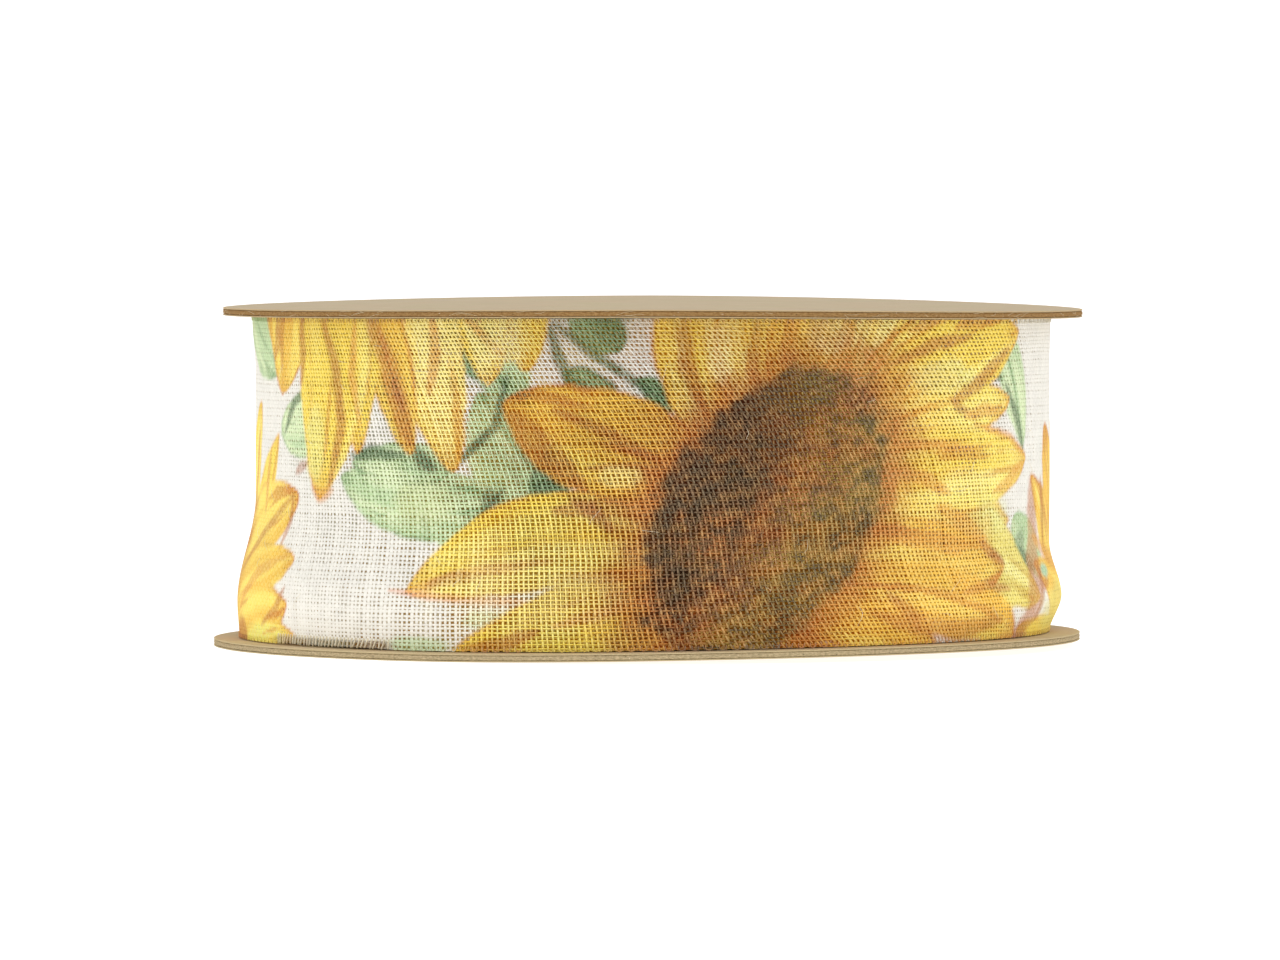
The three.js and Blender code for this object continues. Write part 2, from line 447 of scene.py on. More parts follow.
def seed_head(painting, centre, half_long, half_wide, lean):
    """lean: how far the oval's long axis is turned, in degrees."""
    rows, u, v = painting.near((centre,), 1.7 * half_long)
    a = math.radians(lean)
    du, dv = u - centre[0], v - centre[1]
    long = (du * math.cos(a) + dv * math.sin(a)) / half_long
    wide = (dv * math.cos(a) - du * math.sin(a)) / half_wide
    rough = waver(0.20, u / 3.5, v / 3.5, 21) + waver(0.16, u / 1.1, v / 1.1, 22)
    out = np.hypot(long, wide) + rough
    ring = 0.9 * smooth(1.42, 1.0, out) * (0.6 + 0.7 * clouds(u / 3, v / 3, 27))
    painting.wash(rows, ring, linear(BURNT))
    mottle = clouds(u / 3.4, v / 3.4, 23)
    blotch = clouds(u / 1.6, v / 1.2, 25)
    grain = clouds(u / 0.75, v / 0.6, 24, 2)
    tone = between(smooth(0.3, 0.7, blotch), (140, 70, 20), (102, 54, 20))
    olive_side = smooth(-0.05, -0.55, wide + 0.7 * (mottle - 0.5))
    tone = between(0.9 * olive_side, tone, between(smooth(0.35, 0.6, blotch), (142, 102, 34), (78, 60, 24)))
    charcoal = smooth(0.05, 0.6, wide + 1.1 * (mottle - 0.5)) * (0.72 + 0.4 * blotch)
    low_end = smooth(-0.55, -0.9, long) * smooth(0.4, 0.65, blotch)
    tone = between(np.maximum(0.9 * charcoal, 0.7 * low_end), tone, (46, 33, 18))
    tone = between(0.6 * smooth(0.56, 0.72, grain), tone, (42, 31, 18))
    tone = between(0.5 * smooth(0.42, 0.28, grain) * (1 - 0.7 * charcoal), tone, (186, 122, 52))
    painting.wash(rows, smooth(1.06, 0.93, out), tone)


print("deepest petal colour as light:", linear(ORANGE[2]).round(3))

# %% [markdown]
# The pattern repeats every 290 mm. The main flower leans to the right of the front, a second one
# hangs in from the top edge on the left, and two more sit at the sides. The rest of the repeat, on
# the back, is filled with the same family of flowers and leaves.

# %% Leaves and stems
LEAVES = (
    ((-76, 44), (-58, 33.5), 11, MINT, 0.0), ((-47, 30), (-58, 26), 8, MINT, 0.12),
    ((-20, 18), (-43.2, 20.5), 8.5, MINT, 0.06), ((-25, 22), (-41, 22.5), 6, MINT, 0.0),
    ((-12, 17), (-22, 31), 9, MINT, 0.1), ((-16, 30), (-25, 39), 7, MINT, -0.1),
    ((-20, 33), (-24.5, 39), 4.5, FOREST, 0.05), ((-16, 14), (-30, 16), 5, MINT, 0.1),
    ((-10, 15), (-14.5, 22), 5.5, FOREST, 0.05), ((-4, 36), (-9, 45), 6, FOREST, 0.1),
    ((-4.5, 29.8), (-10.8, 33.8), 4.8, FOREST, 0.05), ((3, 29), (-2, 33), 3, FOREST, 0.0),
    ((50, 39), (57.5, 24), 6.5, MINT, 0.04), ((54, 15), (65, 7), 6, MINT, 0.0),
    ((112, 44), (86, 33), 12, MINT, 0.1), ((132, 4), (150, 20), 12, MINT, -0.1),
    ((158, 2), (170, 16), 9, FOREST, 0.1), ((120, 30), (138, 38), 8, FOREST, -0.08),
    ((168, 26), (180, 38), 9, MINT, 0.1), ((124, 12), (134, 22), 7, FOREST, 0.1),
)
STEMS = (
    ([(-56.5, 26), (-54, 29.5), (-50, 31.5)], 1.2), ([(-41, 23.3), (-37, 23.9), (-32.5, 23.4)], 1.7),
    ([(-31, 24.5), (-29.5, 22.8), (-27.8, 22)], 1.9), ([(-12, 39.5), (-7, 35.5), (1.5, 30)], 1.3),
    ([(-12.5, 39), (-11.4, 35), (-9.5, 31)], 1.5), ([(-18, 33), (-19.5, 27), (-26, 21.5)], 1.3),
    ([(-18.5, 19.5), (-22, 15.5), (-27, 11)], 0.9), ([(52, 32), (55, 28), (57.3, 23.5)], 1.5),
    ([(-24, 39), (-22.5, 36), (-19.5, 34)], 1.6), ([(112, 34), (126, 22), (140, 14)], 1.6),
    ([(49, 33.6), (50, 32.8), (51, 32.6)], 1.0), ([(56, 11), (58, 9.5), (60, 8.5)], 2.2),
)
LEAF_PATCHES = (
    ((-20, 18.2), 1.3, 1.6, DARK_GREEN, 0.7), ((-12.5, 19.4), 2.2, 1.4, DARK_GREEN, 0.7),
    ((-29, 18), 5, 3, (204, 214, 150), 0.6), ((-57, 0.4), 3, 1.1, (150, 196, 120), 0.6),
    ((-30, 0.6), 4.5, 1.2, (160, 204, 130), 0.6), ((-20, 3.6), 3.5, 1.2, (190, 218, 150), 0.5),
)


def paint_leaves(painting):
    """A leaf is a broad petal with a faint rim."""
    for n, (base, tip, width, colours, bend) in enumerate(LEAVES):
        petal(painting, base, tip, width, colours, bend, 31 + 5 * n, rim=0.3, root_depth=0.3)
    for points, width in STEMS:
        stroke(painting, points, width, DARK_GREEN, 0.85)
    for patch in LEAF_PATCHES:
        blot(painting, *patch)


print(f"{len(LEAVES)} leaves, {len(STEMS)} stems and veins")

# %% [markdown]
# Four flowers show from the front: one at each side, one that hangs in from the top edge, and the main
# one. They could be drawn from one petal turned round a centre, but painted flowers never are so even,
# so each petal has its own root, tip, width, colours and bend. A later petal lies over an earlier one,
# because a painter works from the back to the front.

# %% Petals of the side flowers and the hanging one
LEFT_PETALS = (
    ((-82, 8), (-75, 29), 9, ORANGE, 0.0), ((-76, 8), (-66.5, 29.5), 8.5, GOLD, 0.05),
    ((-76, 8), (-58.8, 25.8), 6.5, GOLD, -0.06), ((-80, 4), (-52.3, 18.3), 11, ORANGE, 0.06),
    ((-78, 0), (-51.6, 10.6), 9, ORANGE, 0.06), ((-78, -3), (-52, 5), 10, ORANGE, 0.03),
    ((-78, -8), (-50.5, 1.2), 9, GOLD, 0.03),
)
HANGING_PETALS = (
    ((-17, 54), (-15.5, 33.5), 8, PALE_GOLD, 0.0), ((-25, 52), (-20, 32), 8, PALE_GOLD, 0.04),
    ((-34, 54), (-25, 21.5), 10.5, PALE_GOLD, 0.0), ((-41, 54), (-31, 23.5), 8, ORANGE, 0.0),
    ((-40, 54), (-40, 23.5), 9, GOLD, -0.02), ((-52, 54), (-57.3, 30.5), 13, ORANGE, 0.0),
    ((-44, 54), (-47.5, 17.8), 14.5, GOLD, 0.03),
)
RIGHT_PETALS = (
    ((90, 4), (74, 27), 13, ORANGE, 0.0), ((84, 3), (66.5, 26.5), 12, ORANGE, 0.03),
    ((78, 0), (60, 20.5), 8, ORANGE, -0.04), ((86, 2), (60, 9), 9, ORANGE, 0.06),
    ((84, -3), (54, 1), 11, GOLD, 0.08),
)
print("petals:", len(LEFT_PETALS), "left,", len(HANGING_PETALS), "hanging,", len(RIGHT_PETALS), "right")

# %% Petals of the main flower
MAIN_PETALS = (
    ((8, 24), (3, 52), 11, PALE_GOLD, 0.0), ((24, 30), (35, 47), 9, PALE_GOLD, 0.0),
    ((14, 28), (15, 49), 9, PALE_GOLD, 0.0), ((9, 26), (6, 49), 8, GOLD, 0.0),
    ((19, 30), (25, 49), 9, PALE_GOLD, 0.0), ((11, 26), (9, 50), 8, PALE_GOLD, 0.0),
    ((16, 30), (19, 48), 7, ORANGE, 0.0), ((25, 29), (45, 44), 10, GOLD, -0.03),
    ((25, 27), (55.5, 38.5), 11.5, GOLD, 0.05), ((26, 24), (53.2, 30), 8.5, GOLD, 0.04),
    ((24, 15), (53, 15), 10, ORANGE, 0.0), ((22, 12), (59.5, 5), 14, LEMON, 0.09),
    ((24, 21), (58.2, 22.6), 11.5, GOLD, -0.02), ((22, 13), (51, 9.5), 10, ORANGE, -0.04),
    ((18, 8), (54, 0.5), 10, ORANGE, 0.05), ((14, 4), (42, -8), 11, ORANGE, 0.05),
    ((6, 20), (-12, 12), 13, GOLD, 0.0), ((6, 2), (-14, -8), 11, GOLD, 0.0),
    ((6, 8), (-26, -2), 13, GOLD, 0.05), ((6, 13), (-31.2, 7.2), 11.5, GOLD, -0.085),
    ((6, 22), (-18.5, 30), 13, ORANGE, 0.035),
)
print("petals:", len(MAIN_PETALS), "on the main flower")

# %% [markdown]
# A painted petal gets its form from a few darker pulls of the brush: folds, veins, and the shade where
# two petals meet. Each streak is a line through a few points, with a width and a colour.

# %% Streaks on the left and the hanging flower
HANGING_STREAKS = (
    ([(-58, 40), (-58.5, 37), (-60, 35)], 1.8, BURNT), ([(-51, 41), (-51.2, 36), (-51.8, 32)], 1.5, BURNT),
    ([(-47, 42), (-44, 34), (-43, 27), (-45.5, 19.5)], 1.9, BURNT),
    ([(-40, 40), (-41, 33), (-39.5, 27)], 1.3, AMBER),
    ([(-38.5, 42), (-35, 35), (-32.5, 28), (-31.5, 25)], 3.0, BURNT), ([(-34, 33), (-32.5, 29)], 1.4, RUST),
    ([(-28, 41), (-27.5, 36), (-28.5, 31)], 1.7, AMBER), ([(-24, 41), (-20, 37), (-17.5, 35)], 1.2, AMBER),
    ([(-49.2, 19.5), (-47.5, 18.2), (-44.8, 19)], 1.6, AMBER),
    ([(-53.3, 21), (-52, 21.7), (-50, 22.3)], 1.3, RUST),
)
LEFT_STREAKS = (
    ([(-72, 8), (-62, 14), (-54, 18.2)], 1.2, BURNT),
    ([(-54, 18.2), (-54.5, 15), (-56.5, 11.5)], 0.9, BURNT),
    ([(-70, 4), (-62, 8.5), (-54, 10.8)], 1.5, AMBER), ([(-59.5, 2.2), (-55, 4.3), (-53, 7)], 1.1, BURNT),
    ([(-64, 16), (-63, 20), (-61.5, 24)], 1.1, AMBER), ([(-75, 12), (-70, 20), (-68, 26)], 1.2, AMBER),
    ([(-74, 1), (-68, 1.5), (-66, 0)], 2.5, BURNT),
)
print("streaks:", len(HANGING_STREAKS), "hanging,", len(LEFT_STREAKS), "left")

# %% Streaks on the main and the right flower
TOP_AND_LEFT_STREAKS = (
    ([(3.4, 40.5), (4, 34), (6.5, 28)], 2.1, BURNT), ([(12.6, 40), (12, 34), (13.5, 30)], 1.5, BURNT),
    ([(17.4, 40), (16, 35), (17, 31)], 2.2, AMBER), ([(8, 36), (9, 31), (10, 28)], 1.2, AMBER),
    ([(25, 40), (24, 36), (24, 33)], 1.4, AMBER), ([(31, 39), (29, 35), (27.5, 33)], 1.3, AMBER),
    ([(-17.5, 28.5), (-13, 24), (-8.5, 19.5)], 3.6, BURNT), ([(-12, 29), (-5, 26), (2, 22)], 1.6, BURNT),
    ([(-8, 22), (-2, 22), (4, 20)], 1.5, BURNT), ([(-12, 17), (-5, 17.3), (2, 16)], 2.3, BURNT),
    ([(-10, 18.5), (-7, 16.5), (-5, 14.5)], 2.0, RUST), ([(-30.5, 7.4), (-22, 9.5), (-12, 11)], 1.5, AMBER),
    ([(-33.5, 7.2), (-24, 6.3), (-15.5, 6)], 1.1, (222, 140, 92)),
    ([(-23, 0.3), (-18, 1), (-14, 2.5)], 1.8, BURNT), ([(-12, 3), (-5, 5), (1, 7)], 1.6, AMBER),
    ([(-28, 7.9), (-25, 8.9), (-22, 8.7)], 1.6, BURNT),
)
LOWER_RIGHT_STREAKS = (
    ([(40.5, 29.8), (46, 32.3), (52.5, 36.3)], 2.0, BURNT),
    ([(30.5, 34.6), (37, 36.8), (44, 38)], 1.8, BURNT), ([(41, 39), (47, 40.3), (52, 40.5)], 1.8, AMBER),
    ([(33, 38.5), (37, 40), (42, 41)], 1.4, AMBER), ([(40, 30.3), (42, 28.9), (44, 28.6)], 1.3, RUST),
    ([(43, 28), (47, 28.6), (51, 28.6)], 1.9, AMBER), ([(57.8, 22.8), (53, 25.4), (45, 27)], 1.1, AMBER),
    ([(57, 22), (53, 19.8), (49, 18.4)], 1.6, AMBER), ([(31, 21.5), (36, 20.2), (40, 18.5)], 1.9, AMBER),
    ([(38, 16.8), (43, 14.8), (48, 11.5)], 2.2, AMBER), ([(46, 12.3), (48.5, 10.7), (51, 9.6)], 1.7, RUST),
    ([(41, 6), (46, 7), (51, 6.2)], 1.4, BURNT), ([(27, 4), (34, 2.2), (41, 1.4), (49, 2.4)], 2.7, BURNT),
    ([(29, 6.3), (32, 4.2), (34, 2)], 1.7, RUST), ([(30, 13), (36, 12.3), (42, 11)], 1.5, AMBER),
    ([(31, 25), (37, 24.5), (44, 24)], 1.4, AMBER),
)
RIGHT_STREAKS = (
    ([(60, 19.5), (61, 13), (60, 8), (57, 3), (53.5, -1)], 4.6, BURNT),
    ([(61.5, 9), (60.5, 5), (59, 2)], 1.6, RUST), ([(61, 12.5), (67, 10), (80, 8)], 2.2, AMBER),
    ([(64.5, 20), (65.5, 16), (66.5, 11.5)], 1.7, BURNT), ([(61, 6), (62.5, 6.5), (64, 7)], 1.4, BURNT),
)
print("streaks:", len(TOP_AND_LEFT_STREAKS) + len(LOWER_RIGHT_STREAKS), "main,", len(RIGHT_STREAKS), "right")

# %% [markdown]
# Last come soft patches of wet paint: lemon where a petal catches the light, a warmer gold in the
# middle of the flower, and two spots of green. Then everything is laid on in order. The flowers on the
# back are seen less, so they are plain rings of petals, each a little different by chance.

# %% Painting the pattern
SOFT_PATCHES = (
    ((-48.5, 25), 2.2, 5, (222, 224, 120), 0.5), ((39, 33), 6, 2.2, (226, 228, 128), 0.55),
    ((49, 15.5), 4.5, 2.8, (220, 222, 120), 0.4), ((69, 3.5), 9, 3.5, (206, 196, 84), 0.6),
    ((8, 36), 1.8, 4, (252, 240, 158), 0.6), ((22, 38), 3.2, 2.4, (252, 238, 150), 0.6),
    ((-4, 21), 3, 1.4, (248, 220, 110), 0.7), ((44, 20), 7, 1.6, (252, 232, 130), 0.3),
    ((-18, 37), 3, 3, (250, 236, 140), 0.5), ((-22, 8), 5, 1.5, (250, 222, 110), 0.5),
    ((12, 39), 13, 3.5, (234, 172, 56), 0.35), ((36, 30), 8, 5, (240, 178, 50), 0.3),
    ((41, 12), 9, 5, (234, 160, 44), 0.4), ((-15, 7.5), 12, 6, (253, 238, 150), 0.3),
    ((39, 4), 11, 3.5, (232, 154, 42), 0.35), ((56, 12), 1.7, 1.6, DARK_GREEN, 0.6),
    ((63.5, 8.2), 2.2, 1.1, (140, 190, 150), 0.9),
)


def paint_flowers(painting):
    back_flowers(painting)
    petals = LEFT_PETALS + HANGING_PETALS + RIGHT_PETALS + MAIN_PETALS
    for n, (base, tip, width, colours, bend) in enumerate(petals):
        petal(painting, base, tip, width, colours, bend, 500 + 11 * n)
    left_half = HANGING_STREAKS + LEFT_STREAKS + TOP_AND_LEFT_STREAKS
    for points, width, colour in left_half + LOWER_RIGHT_STREAKS + RIGHT_STREAKS:
        stroke(painting, points, width, colour, 0.7)
    for patch in SOFT_PATCHES:
        blot(painting, *patch)


def back_flowers(painting):
    """The side flowers' far petals and two flowers on the back, in plain rings."""
    for centre, count, reach, width, seed in (
        ((-94, 4), 17, 40, 12, 300), ((98, 6), 17, 40, 12, 301),
        ((150, 52), 15, 37, 12, 305), ((-48, 60), 9, 30, 12, 309),
    ):
        luck = chance(count, seed)
        on_back = abs(centre[0]) > 99
        for n in range(count):
            a = math.radians(360 * (n * 5 % count + 0.5 * luck[n]) / count)
            toward = np.array([math.cos(a), math.sin(a)])
            far = reach * (0.86 + 0.2 * luck[n]) * (1 if on_back or toward[0] * centre[0] > 0 else 0.75)
            colours = (GOLD, PALE_GOLD, ORANGE)[int(luck[n] * 2.99)]
            bend = 0.1 * (luck[n] - 0.5)
            petal(painting, centre + 4 * toward, centre + far * toward, width, colours, bend, seed + 11 * n)


def paint_pattern(u, v):
    """The print's colour at points of the pattern, as light. Its lowest few millimetres are
    painted lighter: painted light against the shade next to the lower board.
    """
    painting = Painting(u, v, BARE_COTTON)
    duller = 0.3 * smooth(0.5, 0.8, clouds(painting.u / 14, painting.v / 10, 61))
    painting.wash(np.arange(painting.u.size), duller, linear((228, 222, 212)))
    paint_leaves(painting)
    paint_flowers(painting)
    for centre, lean in (((-94, 5), 40), ((98, 6), 140), ((150, 52), 20), ((14.3, 16.6), 52)):
        seed_head(painting, centre, 20.5, 12.7, lean)
    drift = 0.91 + 0.18 * clouds(painting.u / 1.4, painting.v / 1.4, 62)
    # Painted light: the lowest nine millimetres are made lighter, against the shade next to the lower board.
    drift = drift + 0.17 * smooth(9, 2, painting.v)
    return np.clip(painting.paint * drift[:, None], 0, 1).reshape(u.shape + (3,))


def print_at(along, height):
    """The print at a length along the strip from its cut end."""
    return paint_pattern(along - run_along(FRONT), height)


sample = paint_pattern(np.array([14.0, -45.0]), np.array([20.0, 8.0]))
print("seed head", sample[0].round(3), "bare cloth", sample[1].round(3))

# %% [markdown]
# ## The weave, as numbers
# Plain weave: upright weft threads 0.65 mm apart and level warp threads 0.49 mm apart, the warps in
# loose pairs. On a real roll the threads don't stay square. The cloth has been pulled, so the wefts
# lean in places, bunch up and open out. That is stored on each point as a weft number and a warp
# number, and a thickness that says how fluffy and close the threads are there.

# %% Thread places
WEFT_PITCH = 0.65
WARP_PITCH = 0.49


def thread_numbers(along, height, turn):
    """Weft number, warp number and thread thickness at each point. turn: 0 for the last turn."""
    place = along - run_along(FRONT)
    seed = 80 + 9 * turn
    if turn == 0:
        lean_top = np.exp(-(((place - 8) / 56) ** 2))
        lean_low = 0.85 * np.exp(-(((place - 30) / 28) ** 2))
        open_middle = np.exp(-((place / 29) ** 4))
        close_left = smooth(-12, -34, place) * smooth(26, 12, height)
        edges = smooth(44, 66, np.abs(place)) * smooth(112, 85, np.abs(place))
        close = 0.85 * (1 - open_middle) + 0.4 * close_left + 1.1 * edges
        close = close + 0.2 * smooth(0.45, 0.75, clouds(place / 30, height / 18, 91))
    else:
        lean_top = 0.25 * (clouds(place / 60, 0 * place, seed) - 0.3)
        lean_low = 0.25 * (clouds(place / 50, 0 * place, seed + 1) - 0.4)
        close = 0.36
    pulled = lean_top * np.clip(height - 10, 0, 30) ** 2 / 54
    pulled = pulled - lean_low * np.clip(13 - height, 0, 13) ** 2 / 26
    pulled = pulled + waver(2.2, place / 34, height / 26, seed + 2)
    pulled = pulled + waver(0.25, place / 5, height / 7, seed + 3)
    rise = waver(0.55, place / 30, height / 12, seed + 4)
    rise = rise + waver(0.16, place / 6, height / 3, seed + 5)
    thick = 0.8 + close + waver(0.3, place / 9, height / 8, seed + 6)
    return (along + pulled) / WEFT_PITCH, (height + rise) / WARP_PITCH, thick


def frayed(along, height):
    """Where the last few warps have slid out of the lower selvedge of the last turn."""
    place = along - run_along(FRONT)
    edge = 0.85 + waver(0.4, along / 3, 0 * along, 52)
    return smooth(edge + 0.15, edge - 0.15, height) * smooth(-57, -53, place) * smooth(-32, -35, place)


print(f"{run_along(TURN) / WEFT_PITCH:.0f} wefts a turn, {RIBBON_WIDTH / WARP_PITCH:.0f} warps")

# %% [markdown]
# ## Short words for nodes
# A material in Blender is a net of small sums, called nodes, joined by links. It could be drawn by hand
# in the node editor, or written with one line for each node and each link. A small class keeps it
# readable: each of its words adds a node, plugs in the values and hands back the result.

# %% Node helpers
class Maker:
    """Short words for building a material from nodes."""

    def __init__(self, name):
        self.material = bpy.data.materials.new(name)
        self.material.use_nodes = True
        self.tree = self.material.node_tree
        self.shader = self.tree.nodes["Principled BSDF"]

    def node(self, kind, **settings):
        made = self.tree.nodes.new(kind)
        for key, value in settings.items():
            setattr(made, key, value)
        return made

    def plug(self, socket, value):
        if isinstance(value, bpy.types.NodeSocket):
            self.tree.links.new(value, socket)
        else:
            socket.default_value = value

    def math(self, operation, *values):
        made = self.node("ShaderNodeMath", operation=operation)
        for socket, value in zip(made.inputs, values):
            self.plug(socket, value)
        return made.outputs[0]

    def plus(self, first, second):
        return self.math("ADD", first, second)

    def less(self, first, second):
        return self.math("SUBTRACT", first, second)

    def times(self, first, second):
        return self.math("MULTIPLY", first, second)

    def place(self):
        """Where a point is, in the object's own axes."""
        return self.node("ShaderNodeTexCoord").outputs["Object"]

    def attribute(self, name, output="Fac"):
        return self.node("ShaderNodeAttribute", attribute_name=name).outputs[output]

    def split(self, vector):
        made = self.node("ShaderNodeSeparateXYZ")
        self.plug(made.inputs[0], vector)
        return made.outputs

    def ramp(self, value, low, high, out_low=0.0, out_high=1.0):
        made = self.node("ShaderNodeMapRange", interpolation_type="SMOOTHSTEP")
        for socket, number in zip(made.inputs, (value, low, high, out_low, out_high)):
            self.plug(socket, number)
        return made.outputs[0]

    def mix(self, share, first, second, kind="MIX"):
        made = self.node("ShaderNodeMix", data_type="RGBA", blend_type=kind)
        self.plug(made.inputs[0], share)
        for socket, value in zip((made.inputs[6], made.inputs[7]), (first, second)):
            self.plug(socket, value)
        return made.outputs[2]

    def noise(self, vector, scale, detail=2.0, roughness=0.5):
        made = self.node("ShaderNodeTexNoise")
        self.plug(made.inputs["Vector"], vector)
        for key, value in (("Scale", scale), ("Detail", detail), ("Roughness", roughness)):
            made.inputs[key].default_value = value
        return made.outputs[0]

    def point(self, x, y, z=0.0):
        made = self.node("ShaderNodeCombineXYZ")
        for socket, value in zip(made.inputs, (x, y, z)):
            self.plug(socket, value)
        return made.outputs[0]

    def finish(self, colour, roughness, specular, sheen=0.0):
        self.plug(self.shader.inputs["Base Color"], colour)
        self.shader.inputs["Roughness"].default_value = roughness
        self.shader.inputs["Specular IOR Level"].default_value = specular
        self.shader.inputs["Sheen Weight"].default_value = sheen

    def bump(self, height, distance, strength):
        made = self.node("ShaderNodeBump")
        made.inputs["Distance"].default_value = distance
        made.inputs["Strength"].default_value = strength
        self.plug(made.inputs["Height"], height)
        self.plug(self.shader.inputs["Normal"], made.outputs[0])


def light(rgb):
    """Everyday colour numbers as a socket colour."""
    return (*linear(rgb).tolist(), 1.0)


print("helpers for nodes ready")

# %% [markdown]
# ## The gauze material
# The weave itself is in the material, because half a thousand wefts a turn would be too many to
# model. From the two thread numbers it works out which thread is on top, how round it is and where
# neither thread is: there the cloth is open and the turn below shows through, and in a closed layer
# the holes get a painted shade instead. The print sits on the warps, and the crests of the wefts stay
# nearly bare. The crests also get a painted highlight, so they show as thin pale lines, and the
# threads get painted shade where they lie low.

# %% Gauze
def thread(m, number, other, half_width, pairing, seed):
    """One family of threads: how much it covers, how round it is, and its whole number."""
    whole = m.math("FLOOR", number)
    odd = m.math("MODULO", m.math("ABSOLUTE", whole), 2.0)
    luck = m.node("ShaderNodeTexWhiteNoise", noise_dimensions="2D")
    m.plug(luck.inputs["Vector"], m.point(whole, seed))
    luck = luck.outputs[0]
    drift = m.noise(m.point(m.times(whole, 7.31), m.times(other, 0.35), seed), 1.0)
    middle = m.plus(0.5 - pairing, m.times(odd, 2 * pairing))
    middle = m.plus(middle, m.times(m.less(luck, 0.5), 0.16))
    middle = m.plus(middle, m.times(m.less(drift, 0.5), 0.28))
    off = m.math("ABSOLUTE", m.less(m.math("FRACT", number), middle))
    spread = m.times(m.plus(0.78, m.times(luck, 0.44)), m.plus(0.62, m.times(drift, 0.76)))
    inward = m.less(1.0, m.math("DIVIDE", off, m.times(spread, half_width)))
    cover = m.ramp(inward, -0.16, 0.16)
    rounded = m.math("SQRT", m.math("MAXIMUM", 0.0, m.math("MINIMUM", 1.0, m.times(inward, 1.6))))
    return cover, rounded, whole


def over_under(m, number, other_whole):
    """The wave of a thread over and under the other family, from -1 to 1."""
    return m.math("COSINE", m.times(math.pi, m.plus(m.less(number, 0.5), other_whole)))


def gauze(name, see_through, bareness_and_highlight, hole_shade=None):
    """bareness: how pale the crests are, from bare cotton and a painted highlight.
    hole_shade: the colour of the painted shade in the holes of a closed layer.
    """
    m = Maker(name)
    weft_number, warp_number, thick = m.split(m.attribute("threads", "Vector"))
    weft, weft_round, weft_whole = thread(m, weft_number, warp_number, m.times(thick, 0.185), 0.02, 3.0)
    warp, warp_round, warp_whole = thread(m, warp_number, weft_number, m.times(thick, 0.19), 0.05, 8.0)
    weft_crest = m.plus(0.45, m.times(over_under(m, warp_number, weft_whole), 0.35))
    warp_crest = m.less(0.45, m.times(over_under(m, weft_number, warp_whole), 0.35))
    weft_height = m.times(weft, m.plus(m.times(weft_round, 0.55), weft_crest))
    warp_height = m.times(warp, m.plus(m.times(warp_round, 0.55), warp_crest))
    height = m.math("MAXIMUM", weft_height, warp_height)
    fuzz = m.noise(m.point(weft_number, warp_number), 2.3, 3.0)
    hairs = m.noise(m.point(m.times(weft_number, 0.8), warp_number, 5.0), 4.5, 2.0)
    hairs = m.ramp(hairs, 0.62, 0.72, 0.0, 0.55)
    cover = m.math("MAXIMUM", m.math("MAXIMUM", weft, warp), hairs)
    cover = m.times(cover, m.less(1.0, m.attribute("fray")))
    ink = m.attribute("print", "Color")
    on_top = m.ramp(m.less(weft_height, warp_height), -0.1, 0.25)
    # Pale crests: partly bare cotton, partly a painted highlight.
    bare_and_highlit_weft = m.times(m.times(on_top, m.ramp(weft_height, 0.5, 0.95)), m.ramp(fuzz, 0.3, 0.6, 0.6, 1.0))
    bare_and_highlit_warp = m.times(m.ramp(warp_height, 0.6, 1.1), m.ramp(fuzz, 0.35, 0.65, 0.3, 0.8))
    # Painted shade: a thread is darker where it lies low.
    shaded = m.mix(m.ramp(height, 0.25, 1.0), light((214, 198, 168)), light((255, 255, 255)))
    colour = m.mix(1.0, ink, shaded, "MULTIPLY")
    paler = m.node("ShaderNodeGamma")
    m.plug(paler.inputs[0], ink)
    m.plug(paler.inputs[1], 0.62)
    pale = m.mix(bareness_and_highlight, paler.outputs[0], light((255, 240, 204)))
    colour = m.mix(m.math("MAXIMUM", bare_and_highlit_weft, bare_and_highlit_warp), colour, pale)
    if see_through:
        m.plug(m.shader.inputs["Alpha"], cover)
    else:
        # Painted shade in the holes of a closed layer, for the dim turns further in.
        colour = m.mix(cover, m.mix(1.0, ink, light(hole_shade), "MULTIPLY"), colour)
    m.finish(colour, 0.9, 0.1, 0.03)
    m.bump(height, 0.12 * MM, 0.8)
    return m.material


OPEN_GAUZE = gauze("open_gauze", True, 0.1)
BACKED_GAUZE = gauze("backed_gauze", False, 0.1, (206, 176, 124))
print("gauze:", len(OPEN_GAUZE.node_tree.nodes), "nodes")

# %% [markdown]
# ## The turns of ribbon
# The two outer turns are fine sheets, because they are what the eye reads: the last turn is open, and
# the one below it shows through its holes. The last turn is cut in three lengths so that each keeps a
# sharp surface when the model leaves Blender. Cotton this thin lets most of the light through, so the
# last turn casts no shadow on the one below. That turn gets some of the print of the turn above mixed
# into its own, and painted shade: it is darkened a little, and more behind the fringe. Further in,
# nothing shows, so one coarse sheet carries the other fourteen metres of the same spiral.

# %% Cloth sheets
TAIL_JOIN = ROOT + math.radians(9)
FINE_STEP = 0.36
MIDDLE_STEP = 0.5
COLUMNS_A_TURN = 40


def put_attribute(mesh, name, kind, values):
    """Stores a value at each point of a mesh, for its material to read."""
    field = {"FLOAT_COLOR": "color", "FLOAT_VECTOR": "vector", "FLOAT": "value"}[kind]
    mesh.attributes.new(name, kind, "POINT").data.foreach_set(field, values.astype(np.float32).ravel())


def put_print(mesh, colour):
    """Stores the print's colours, as light, with a full alpha."""
    values = np.concatenate([colour, np.ones(colour.shape[:-1] + (1,))], -1)
    put_attribute(mesh, "print", "FLOAT_COLOR", values)


def fine_grid(start, end, step):
    """How many columns and rows keep the points of a length about one step apart."""
    columns = math.ceil((run_along(end) - run_along(start)) / step) + 1
    return columns, round(RIBBON_WIDTH / step) + 1


